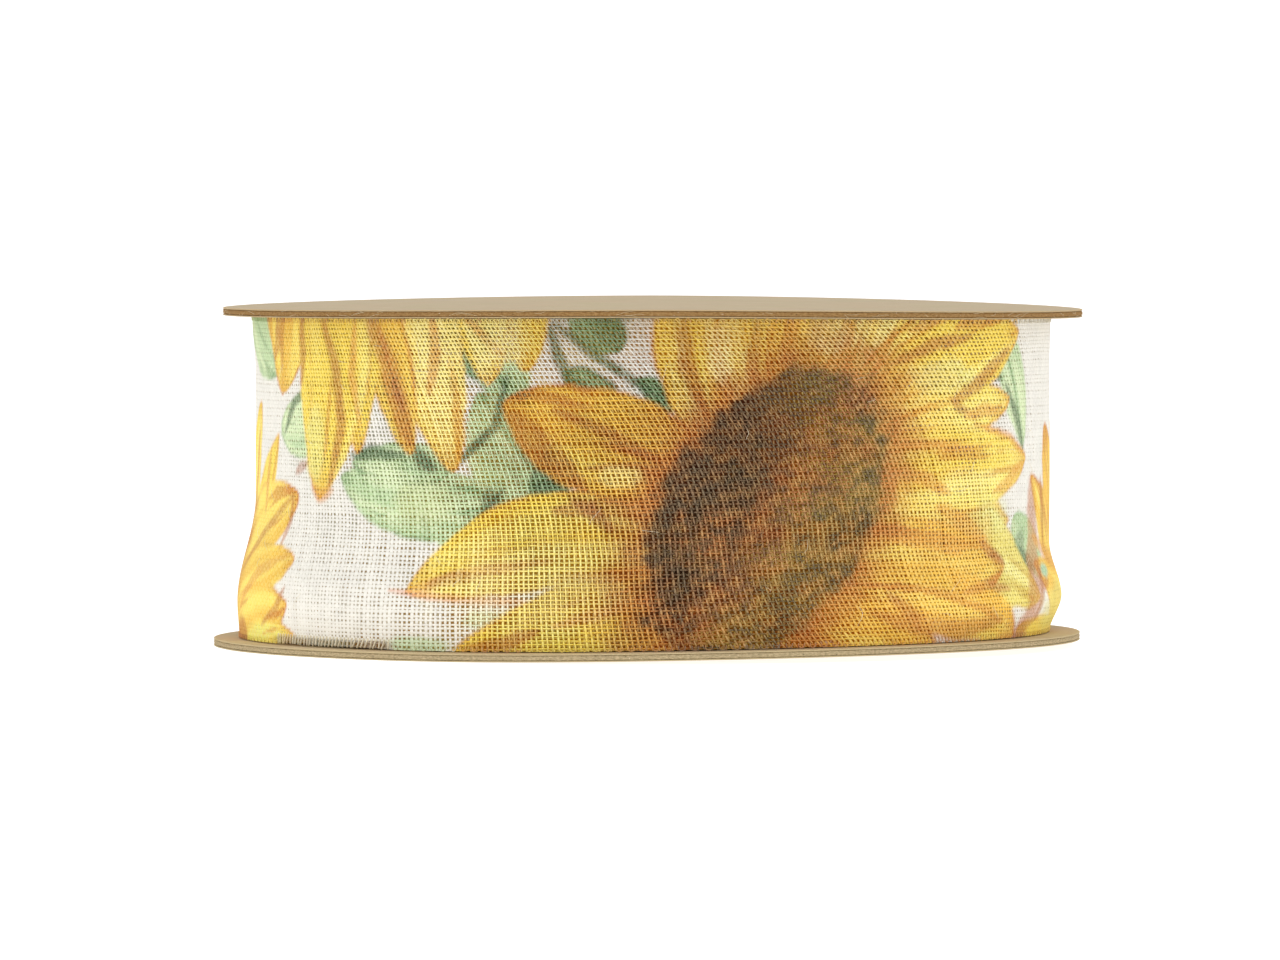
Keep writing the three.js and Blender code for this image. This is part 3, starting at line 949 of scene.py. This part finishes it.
def ribbon_piece(name, start, end, turn, grid, material):
    """A length of the strip between two angles from the cut end. turn: 0 for the last, loose turn."""
    columns, rows = grid
    angle = np.linspace(start, end, columns)[:, None] + np.zeros((1, rows))
    height = np.linspace(0, RIBBON_WIDTH, rows)[None, :] + np.zeros((columns, 1))
    made = new_object(name, mesh_from_grid(name, strip_points(angle, height, turn == 0)))
    along = run_along(angle)
    colour = print_at(along, height)
    if turn == 1:
        # Some of the print of the turn above is mixed in, then the colour is darkened a little: painted
        # shade under the last turn.
        above = run_along(angle - TURN)
        tint = 0.6 * smooth(TAIL_JOIN, TAIL_JOIN + 0.3, angle - TURN)[..., None]
        colour = (colour + (print_at(above, height) - colour) * tint) ** 1.05
        # Painted shade: darker behind the fringe, where the gap under the last turn is deep.
        colour = colour * (1 - 0.25 * frayed(above, height))[..., None]
    put_print(made.data, colour)
    put_attribute(made.data, "threads", "FLOAT_VECTOR", np.stack(thread_numbers(along, height, turn), -1))
    if turn == 0:
        put_attribute(made.data, "fray", "FLOAT", frayed(along, height))
    made.data.materials.append(material)
    return made


third = (TURN - TAIL_JOIN) / 3
for part, side in enumerate(("left", "front", "right")):
    begin = TAIL_JOIN + third * part
    grid = fine_grid(begin, begin + third, FINE_STEP)
    last_turn = ribbon_piece(f"ribbon_last_turn_{side}", begin, begin + third, 0, grid, OPEN_GAUZE)
    last_turn.visible_shadow = False
    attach(last_turn, "spool")
    if part == 0:
        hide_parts("ribbon_last_turn")

grid = fine_grid(TURN, 2 * TURN, MIDDLE_STEP)
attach(ribbon_piece("ribbon_second_turn", TURN, 2 * TURN, 1, grid, BACKED_GAUZE), "spool")

INNERMOST = TURN * ROLL_THICKNESS / TURN_PITCH
grid = int((INNERMOST - 2 * TURN) / TURN * COLUMNS_A_TURN), 3
inner_turns = ribbon_piece("ribbon_inner_turns", 2 * TURN, INNERMOST, 3, grid, BACKED_GAUZE)
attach(inner_turns, "spool")
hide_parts("ribbon_wound_turns")

# %% [markdown]
# ## The free end
# The last few centimetres can be peeled off the roll. Here the cloth of the free end is only built in
# its place on the roll, and its placement is baked into its points.


def bend_at_root(piece):
    """Bakes the piece's placement into its points."""
    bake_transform(piece)


grid = fine_grid(0, TAIL_JOIN, FINE_STEP)
tail = ribbon_piece("ribbon_free_end_cloth", 0, TAIL_JOIN, 0, grid, OPEN_GAUZE)
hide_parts("ribbon_free_end")
bend_at_root(tail)

# %% [markdown]
# ## Thread ends in the round
# Thread ends are seen side on, against the boards, so a picture of them on the flat cloth won't do:
# they are real thin tubes. Curves with a round bevel would also work, but hundreds of them leave
# Blender more cleanly as one mesh, so one helper builds all the tubes of a piece, thinner at the ends.

# %% Thin tubes along many short paths
def thread_tubes(name, paths, radius, colours, sides=5):
    """paths: [path, step, xyz] in millimetres. colours: one for each path, as light."""
    count, steps = paths.shape[:2]
    ahead = np.gradient(paths, axis=1)
    ahead /= np.linalg.norm(ahead, axis=2, keepdims=True)
    outward = paths * (1, 1, 0.02)
    side = np.cross(ahead, outward)
    side /= np.linalg.norm(side, axis=2, keepdims=True)
    other = np.cross(ahead, side)
    turn = np.arange(sides) * TURN / sides
    taper = 0.45 + 0.55 * np.sin(math.pi * np.linspace(0.08, 0.92, steps)) ** 0.3
    thin = radius * taper[None, :, None, None]
    ring = np.cos(turn)[:, None] * side[:, :, None] + np.sin(turn)[:, None] * other[:, :, None]
    points = (paths[:, :, None] + thin * ring).reshape(-1, 3)
    index = np.arange(count * steps * sides).reshape(count, steps, sides)
    around = np.roll(index, -1, axis=2)
    walls = np.stack([index[:, :-1], around[:, :-1], around[:, 1:], index[:, 1:]], -1).reshape(-1, 4)
    ends = np.concatenate([index[:, 0, ::-1], index[:, -1]])
    made = new_object(name, new_mesh(name, points, walls.tolist() + ends.tolist()))
    put_print(made.data, np.repeat(colours, steps * sides, axis=0))
    made.data.materials.append(COTTON_THREAD)
    print(f"{name}: {count} threads")
    return made


def cotton_thread():
    m = Maker("cotton_thread")
    twist = m.noise(m.place(), 9000, 2.0)
    tint = m.mix(m.ramp(twist, 0.3, 0.7), light((214, 208, 196)), light((255, 253, 246)))
    m.finish(m.mix(1.0, m.attribute("print", "Color"), tint, "MULTIPLY"), 0.9, 0.2, 0.1)
    m.bump(twist, 0.03 * MM, 0.6)
    return m.material


COTTON_THREAD = cotton_thread()

# %% [markdown]
# At both selvedges a weft turns back in a small loop, and at the lower left a few warps have slid out,
# so the wefts stand there as a fringe. At the cut the warps stick out past the last weft, and a few
# loose fibres stand off the whole roll. Each kind starts from where its threads really are.

# %% Selvedge loops, fringe and cut end
LOOP_ACROSS = np.array([0.0, 0.02, 0.2, 0.5, 0.8, 0.98, 1.0])
LOOP_RISE = np.array([0.6, 0.3, 0.1, 0.04, 0.1, 0.3, 0.6])


def angle_at(along):
    """The angle at a length along the strip, which is run_along the other way round."""
    bend = TURN_PITCH / (2 * TURN)
    return (OUTSIDE_RADIUS - np.sqrt(OUTSIDE_RADIUS**2 - 4 * bend * along)) / (2 * bend)


def weft_places(start, end, height):
    """How far along the strip each weft crosses this height, between two angles."""
    along = np.linspace(run_along(start), run_along(end), 4000)
    number = thread_numbers(along, height + 0 * along, 0)[0] - 0.5
    whole = np.arange(math.ceil(number[0]), math.floor(number[-1]))
    return whole, np.interp(whole, number, along)


def thread_colour(along, height, pale):
    """The print on a thread's end. pale: how much of it is unprinted cotton."""
    colour = print_at(along, height)
    return colour * (1 - pale) + linear((250, 244, 226)) * pale


def selvedge_loops(name, start, end):
    """Small loops in which each weft turns back at the two selvedges, between two angles."""
    paths, colours = [], []
    for edge, inward in ((0.0, 1), (RIBBON_WIDTH, -1)):
        whole, along = weft_places(start, end, edge)
        even = whole[:-1] % 2 == 0
        first, second = along[:-1][even], along[1:][even]
        luck = chance(len(first), 401 + inward)
        place = first[:, None] + (second - first)[:, None] * LOOP_ACROSS
        height = edge + inward * (LOOP_RISE - 0.02 - 0.06 * luck[:, None])
        if inward > 0:
            keep = frayed(first, 0.6 + 0 * first) < 0.5
            place, height, first = place[keep], height[keep], first[keep]
        paths.append(strip_points(angle_at(place), height, True, 0.05 + 0 * place))
        colours.append(thread_colour(first, edge + inward * 0.8 + 0 * first, 0.2))
    return thread_tubes(name, np.concatenate(paths), 0.07, np.concatenate(colours))


def fringe():
    """Bare weft ends where the last warps have slid out."""
    along = weft_places(TAIL_JOIN, TURN - 0.5, 1.0)[1]
    along = along[frayed(along, 0.6 + 0 * along) > 0.5]
    luck, sway = chances(len(along), 405, 2)
    sway = sway - 0.5
    share = np.linspace(0, 1, 7)[None, :]
    height = 1.3 * (1 - share) + (0.02 + 0.12 * luck) * share
    place = along[:, None] + share * (sway * share * 0.5 - 0.35)
    lift = 0.05 + 0.25 * (luck - 0.3) * share
    paths = strip_points(angle_at(place), height, True, lift)
    return thread_tubes("lower_left_fringe", paths, 0.13, thread_colour(along, 1.5 + 0 * along, 0.75))


def cut_end_threads():
    """Warp ends past the cut, each a little longer or shorter and curled its own way."""
    number = np.arange(1, int(RIBBON_WIDTH / WARP_PITCH) - 1)
    height = (number + 0.5) * WARP_PITCH
    luck, sway = chances(len(number), 407, 2)
    sway = sway - 0.5
    share = np.linspace(0, 1, 7)[None, :]
    past = 0.8 - (1.3 + 1.9 * luck**2) * share
    level = height[:, None] + sway * share**2 * 1.1
    radius = OUTSIDE_RADIUS + 0.04 - (0.12 + 0.12 * luck) * share**2
    azimuth = CUT_AZIMUTH + past / radius
    paths = np.stack([radius * np.cos(azimuth), radius * np.sin(azimuth), RIBBON_BOTTOM + level], -1)
    return thread_tubes("cut_end_warps", paths, 0.1, thread_colour(0 * height, height, 0.3))


def stray_hairs():
    """Loose cotton fibres that stand off the roll."""
    count = 70
    a, b, c, d, e = chances(count, 410, 5)
    share = np.linspace(0, 1, 8)[None, :]
    along = run_along(ROOT + 0.3 + a * (TURN - ROOT - 0.6))
    place = along + (0.6 + 2.4 * b) * np.cos(TURN * c) * share + 0.7 * (d - 0.5) * np.sin(5 * share)
    height = 1.5 + 37 * e + (0.6 + 2.4 * b) * np.sin(TURN * c) * share
    height = np.clip(height, 0.3, RIBBON_WIDTH - 0.3)
    lift = 0.1 + 0.45 * d * np.sin(math.pi * share) ** 0.8
    paths = strip_points(angle_at(place), height, True, lift)
    colours = np.ones((count, 3)) * linear((252, 246, 226))
    return thread_tubes("stray_cotton_hairs", paths, 0.022, colours, sides=3)


for made in (selvedge_loops("selvedge_loops", TAIL_JOIN, TURN), fringe(), stray_hairs()):
    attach(made, "spool")
bend_at_root(selvedge_loops("free_end_selvedge_loops", 0.0, TAIL_JOIN))
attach(cut_end_threads(), "free_end")

# %% [markdown]
# ## The boards
# Each board is a grey-brown core with a kraft paper on both sides, punched out with a round die. The
# punch crushes the edge, so the papers roll over a little and the core shows as a fibrous band
# between them. Every layer is its own closed disc, and the three share their dents. The upper board
# bends down at its sides. A plain flat disc would show a hard, even line instead of this edge.

# %% Board layers
Board = namedtuple("Board", "name shift lift wider seed nicks")
Layer = namedtuple("Layer", "rim inset fuzz seed slot")


def hang(x, y):
    """How far the upper board is off its flat place."""
    return -sag(x)


# rim: a few points of the edge from its upper to its lower face, as millimetres in and share of height
UPPER = Board("top_board", 0.37, hang, 0.0, 610, ())
LOWER = Board("bottom_board", -0.37, curl, 0.45, 730, (-6.1, 52.5))
PAPER = Layer(((0.30, 1.0), (0.07, 0.97), (0.015, 0.8), (0.0, 0.5), (0.015, 0.2), (0.07, 0.03), (0.30, 0.0)),
              0.02, 0.05, 5, "kraft_paper")
CORE = Layer(((0.34, 1.0), (0.16, 0.98), (0.06, 0.9), (0.02, 0.76), (0.0, 0.6), (0.0, 0.45), (0.0, 0.3),
              (0.03, 0.17), (0.1, 0.07), (0.3, 0.0)), 0.06, 0.16, 0, "solid_board")
FACE_RINGS = np.array([5, 12, 20, 28, 35, 41, 46, 49, 51, 52.2])


def rim_dents(arc, board):
    """How deep the dents in a board's rim are, at lengths round it from the front."""
    seed = board.seed // 10
    broad, fine = clouds(arc / 16, 0 * arc, seed), clouds(arc / 2.5, 0 * arc, seed + 1)
    dent = 0.13 * smooth(0.55, 0.9, broad) + 0.05 * fine
    for place in board.nicks:
        dent = dent + 0.24 * smooth(0.42, 0.1, np.abs(arc - place))
    return dent


def board_layer(board, layer, name, node, material):
    """One layer of a board as a closed disc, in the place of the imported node."""
    low, high = (corner[2] for corner in node_box_mm(node))
    columns = 1200
    turn = np.arange(columns)[:, None] * TURN / columns
    arc = (turn - math.radians(270)) * BOARD_RADIUS
    rim_inward, rim_level = np.array(layer.rim).T
    inward = np.concatenate([BOARD_RADIUS - FACE_RINGS, rim_inward, BOARD_RADIUS - FACE_RINGS[::-1]])
    level = np.concatenate([0 * FACE_RINGS + 1, rim_level, 0 * FACE_RINGS])
    near_rim = smooth(2.5, 0.3, inward)
    rough = waver(layer.fuzz, arc / 0.55, level * (high - low) / 0.13, board.seed + layer.seed)
    radius = BOARD_RADIUS + board.wider * near_rim - inward - layer.inset * near_rim
    radius = radius - near_rim * (rim_dents(arc, board) + rough)
    x, y = radius * np.cos(turn) + board.shift, radius * np.sin(turn)
    z = low + level * (high - low) + board.lift(x, y)
    if board is UPPER:
        z = z + waver(0.05, x / 23, y / 23, 95) * smooth(53, 20, radius)
    rows = len(inward)
    index = np.arange(columns * rows).reshape(columns, rows)
    ahead = np.roll(index, -1, axis=0)
    quads = np.stack([index[:, :-1], index[:, 1:], ahead[:, 1:], ahead[:, :-1]], -1).reshape(-1, 4)
    top, bottom = columns * rows, columns * rows + 1
    fans = np.concatenate([np.stack([index[:, 0], ahead[:, 0], top + 0 * index[:, 0]], -1),
                           np.stack([ahead[:, -1], index[:, -1], bottom + 0 * index[:, 0]], -1)])
    middle = [[board.shift, 0, z[:, 0].mean()], [board.shift, 0, z[:, -1].mean()]]
    points = np.concatenate([np.stack([x, y, z], -1).reshape(-1, 3), middle])
    made = new_object(name, new_mesh(name, points, quads.tolist() + fans.tolist()))
    edge = np.stack([arc + 0 * x, z, inward + 0 * x], -1).reshape(-1, 3)
    put_attribute(made.data, "edge", "FLOAT_VECTOR", np.concatenate([edge, [[0, 0, 50], [0, 0, 50]]]))
    made.data.materials.append(material)
    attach(made, "spool")
    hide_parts(node)
    print(f"{name}: {low:.2f} to {high:.2f} mm, {len(points)} points")


# %% [markdown]
# Kraft paper is brown from its unbleached fibres. They lie mostly one way, so the paper has faint
# streaks, and slower clouds of a pinker and an olive brown. The cut edge is worn paler. The core
# board is coarse recycled fibre: its edge is darker, streaked along the rim, with odd specks.

# %% Board materials
def kraft_paper(name, base, worn):
    """base: the paper's colour. worn: its colour where the rim has rubbed."""
    m = Maker(name)
    x, y, z = m.split(m.place())
    fibres = m.noise(m.point(m.times(x, 320), m.times(y, 2600), m.times(z, 2600)), 1.0, 4.0, 0.6)
    clouding = m.noise(m.point(x, y, 2.0), 95, 2.0)
    pulp = m.noise(m.point(x, y, z), 1500, 3.0)
    base = np.array(base)
    colour = m.mix(m.ramp(fibres, 0.35, 0.65), light(base * 0.96), light(np.minimum(base * 1.04, 255)))
    colour = m.mix(m.ramp(clouding, 0.42, 0.7, 0.0, 0.4), colour, light(base * (1.01, 0.965, 0.96)))
    colour = m.mix(m.ramp(clouding, 0.5, 0.3, 0.0, 0.4), colour, light(base * (0.97, 0.985, 0.93)))
    colour = m.mix(m.ramp(pulp, 0.66, 0.74, 0.0, 0.5), colour, light(base * 0.8))
    arc, level, inward = m.split(m.attribute("edge", "Vector"))
    rubbed = m.noise(m.point(m.times(arc, 0.9), m.times(level, 14)), 1.0, 3.0)
    edge = m.times(m.ramp(inward, 0.75, 0.1), m.ramp(rubbed, 0.3, 0.6, 0.45, 1.0))
    colour = m.mix(edge, colour, light(worn))
    m.finish(colour, 0.86, 0.12)
    m.bump(m.plus(fibres, m.times(pulp, 0.5)), 0.03 * MM, 0.7)
    return m.material


def board_core(name, pale, dark):
    """Coarse recycled fibre between a pale and a dark colour."""
    m = Maker(name)
    arc, level, inward = m.split(m.attribute("edge", "Vector"))
    streak = m.noise(m.point(m.times(arc, 2.4), m.times(level, 6)), 1.0, 4.0, 0.7)
    long_fibre = m.noise(m.point(m.times(arc, 1.1), m.times(level, 26), 4.0), 1.0, 2.0)
    speck = m.noise(m.point(m.times(arc, 2.6), m.times(level, 3.4), 9.0), 1.0, 1.0)
    colour = m.mix(m.ramp(streak, 0.34, 0.66), light(dark), light(pale))
    whitish = np.minimum(np.array(pale) * 1.22, 255)
    colour = m.mix(m.ramp(long_fibre, 0.6, 0.72, 0.0, 0.6), colour, light(whitish))
    colour = m.mix(m.ramp(speck, 0.69, 0.76, 0.0, 0.75), colour, light(np.array(dark) * 0.55))
    colour = m.mix(m.ramp(speck, 0.29, 0.22, 0.0, 0.8), colour, light((226, 210, 180)))
    m.finish(colour, 0.92, 0.08)
    m.bump(m.plus(streak, m.times(long_fibre, 0.6)), 0.08 * MM, 0.9)
    return m.material


top_kraft = kraft_paper("kraft_paper", (181, 165, 137), (190, 164, 122))
lower_kraft = kraft_paper("kraft_paper_grey", (194, 174, 138), (196, 178, 138))
top_core = board_core("board_core_brown", (168, 133, 86), (132, 98, 56))
lower_core = board_core("board_core_grey", (200, 180, 142), (156, 139, 106))
for board, paper, core in ((UPPER, top_kraft, top_core), (LOWER, lower_kraft, lower_core)):
    for face in ("outer", "inner"):
        board_layer(board, PAPER, f"{board.name}_{face}_paper", f"{board.name}_{face}_lining", paper)
    board_layer(board, CORE, f"{board.name}_core", f"{board.name}_ply", core)


def paper_fibres(name, board, count, low, high, seed):
    """Loose pale fibres that the punch left hanging on the rim."""
    a, b, c, d = chances(count, seed, 4)
    share = np.linspace(0, 1, 7)[None, :]
    azimuth = TURN * a + (0.4 + 2.0 * b) * (share - 0.5) / BOARD_RADIUS
    radius = BOARD_RADIUS - 0.02 + 0.14 * c * np.sin(math.pi * share)
    x, y = radius * np.cos(azimuth) + board.shift, radius * np.sin(azimuth)
    z = low + (high - low) * c + (0.9 * (d - 0.5)) * (share - 0.5) + 0.1 * np.sin(4 * share + TURN * b)
    z = np.clip(z, low, high) + board.lift(x, y)
    colours = np.ones((count, 3)) * linear((232, 214, 178))
    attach(thread_tubes(name, np.stack([x, y, z], -1), 0.02, colours, 3), "spool")


paper_fibres("top_rim_fibres", UPPER, 120, SPOOL_HEIGHT - 0.9, SPOOL_HEIGHT - 0.03, 431)
paper_fibres("bottom_rim_fibres", LOWER, 90, 0.08, 0.9, 441)

# %% [markdown]
# ## Inside the roll
# The tube, the glue and the tape that starts the ribbon are sealed between the boards. Their shapes
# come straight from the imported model, and each gets its own finish: board paper wound on a slant,
# a bead of amber glue, creped paper tape.

# %% Finishes for the hidden pieces
def dress(node, material):
    """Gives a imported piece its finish."""
    for slot in bpy.data.objects[node].material_slots:
        slot.material = material


def wound_board(name, pale, dark):
    """Tube board, with the slanting seam of the strip that it was wound from."""
    m = Maker(name)
    x, y, z = m.split(m.place())
    around = m.math("ARCTAN2", y, x)
    slant = m.math("FRACT", m.plus(m.times(z, 16.0), m.times(around, 1 / TURN)))
    seam = m.ramp(m.math("ABSOLUTE", m.less(slant, 0.5)), 0.0, 0.02, 1.0, 0.0)
    fibres = m.noise(m.point(m.times(around, 30), m.times(z, 2400)), 1.0, 3.0)
    colour = m.mix(m.ramp(fibres, 0.35, 0.65), light(dark), light(pale))
    m.finish(m.mix(m.times(seam, 0.6), colour, light((96, 76, 50))), 0.9, 0.1)
    m.bump(m.less(fibres, seam), 0.08 * MM, 0.7)
    return m.material


def amber_glue():
    m = Maker("amber_glue")
    flow = m.noise(m.place(), 260, 3.0)
    m.finish(m.mix(m.ramp(flow, 0.3, 0.7), light((196, 150, 78)), light((226, 192, 128))), 0.28, 0.5)
    m.bump(flow, 0.3 * MM, 0.6)
    return m.material


def creped_tape():
    m = Maker("creped_paper_tape")
    x, y, z = m.split(m.place())
    crepe = m.noise(m.point(m.times(z, 300), m.times(m.math("ARCTAN2", y, x), 90)), 1.0, 3.0)
    m.finish(m.mix(m.ramp(crepe, 0.35, 0.65), light((214, 198, 160)), light((234, 222, 190))), 0.8, 0.2)
    m.bump(crepe, 0.06 * MM, 0.8)
    return m.material


dress("core_tube_inner_ply", wound_board("tube_board_inner", (172, 146, 108), (140, 114, 78)))
dress("core_tube_outer_ply", wound_board("tube_board_outer", (184, 160, 122), (152, 126, 88)))
glue = amber_glue()
for node in ("bottom_glue_ring", "top_glue_ring"):
    dress(node, glue)
dress("start_tape", creped_tape())
print("hidden pieces dressed")

# %% [markdown]
# ## The piece of clear tape
# A short piece of matt clear tape holds the cut end down. It is torn from a dispenser, so both its
# ends are toothed, and it steps down over the cut, with a few bubbles. It goes with the free end.

# %% End tape
def matt_clear():
    """Nearly clear, frostier at its rim."""
    m = Maker("matt_clear_tape")
    frost = m.noise(m.place(), 1800, 3.0)
    cover = m.plus(m.ramp(m.attribute("rim"), 0.0, 0.35, 0.34, 0.0), m.ramp(frost, 0.3, 0.7, 0.20, 0.28))
    m.plug(m.shader.inputs["Alpha"], cover)
    m.finish(m.mix(frost, light((238, 238, 230)), light((255, 255, 252))), 0.3, 0.5)
    m.bump(frost, 0.02 * MM, 0.4)
    return m.material


def clear_tape():
    """A toothed strip that steps down over the cut end."""
    columns, rows = 96, 61
    along = np.linspace(0, 1, columns)[:, None]
    up = np.linspace(0, 1, rows)[None, :]
    height = TAPE_LOW[2] + (TAPE_HIGH[2] - TAPE_LOW[2]) * up + 0 * along
    tooth = 0.42 * np.abs((height / 0.9) % 2 - 1)
    edge_low = math.acos(TAPE_HIGH[0] / (HINGE_RADIUS + 0.4)) * OUTSIDE_RADIUS + tooth
    edge_high = CUT_AZIMUTH * OUTSIDE_RADIUS + 10.2 - tooth
    azimuth = (edge_low + (edge_high - edge_low) * along) / OUTSIDE_RADIUS
    step = smooth(CUT_AZIMUTH - 0.035, CUT_AZIMUTH - 0.002, azimuth)
    bubbles = 0.05 * smooth(0.62, 0.75, clouds(azimuth * 40, height / 1.6, 461))
    radius = OUTSIDE_RADIUS - TURN_PITCH + 0.16 + (TURN_PITCH + 0.03) * step + bubbles
    points = np.stack([radius * np.cos(azimuth), radius * np.sin(azimuth), height], -1)
    made = new_object("clear_end_tape", mesh_from_grid("clear_end_tape", points))
    rim = np.minimum(np.minimum(along, 1 - along) * 19, np.minimum(up, 1 - up) * 12)
    put_attribute(made.data, "rim", "FLOAT", rim)
    made.data.materials.append(matt_clear())
    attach(made, "free_end")
    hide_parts("end_tape")
    print(f"clear tape: {columns * rows} points")


clear_tape()
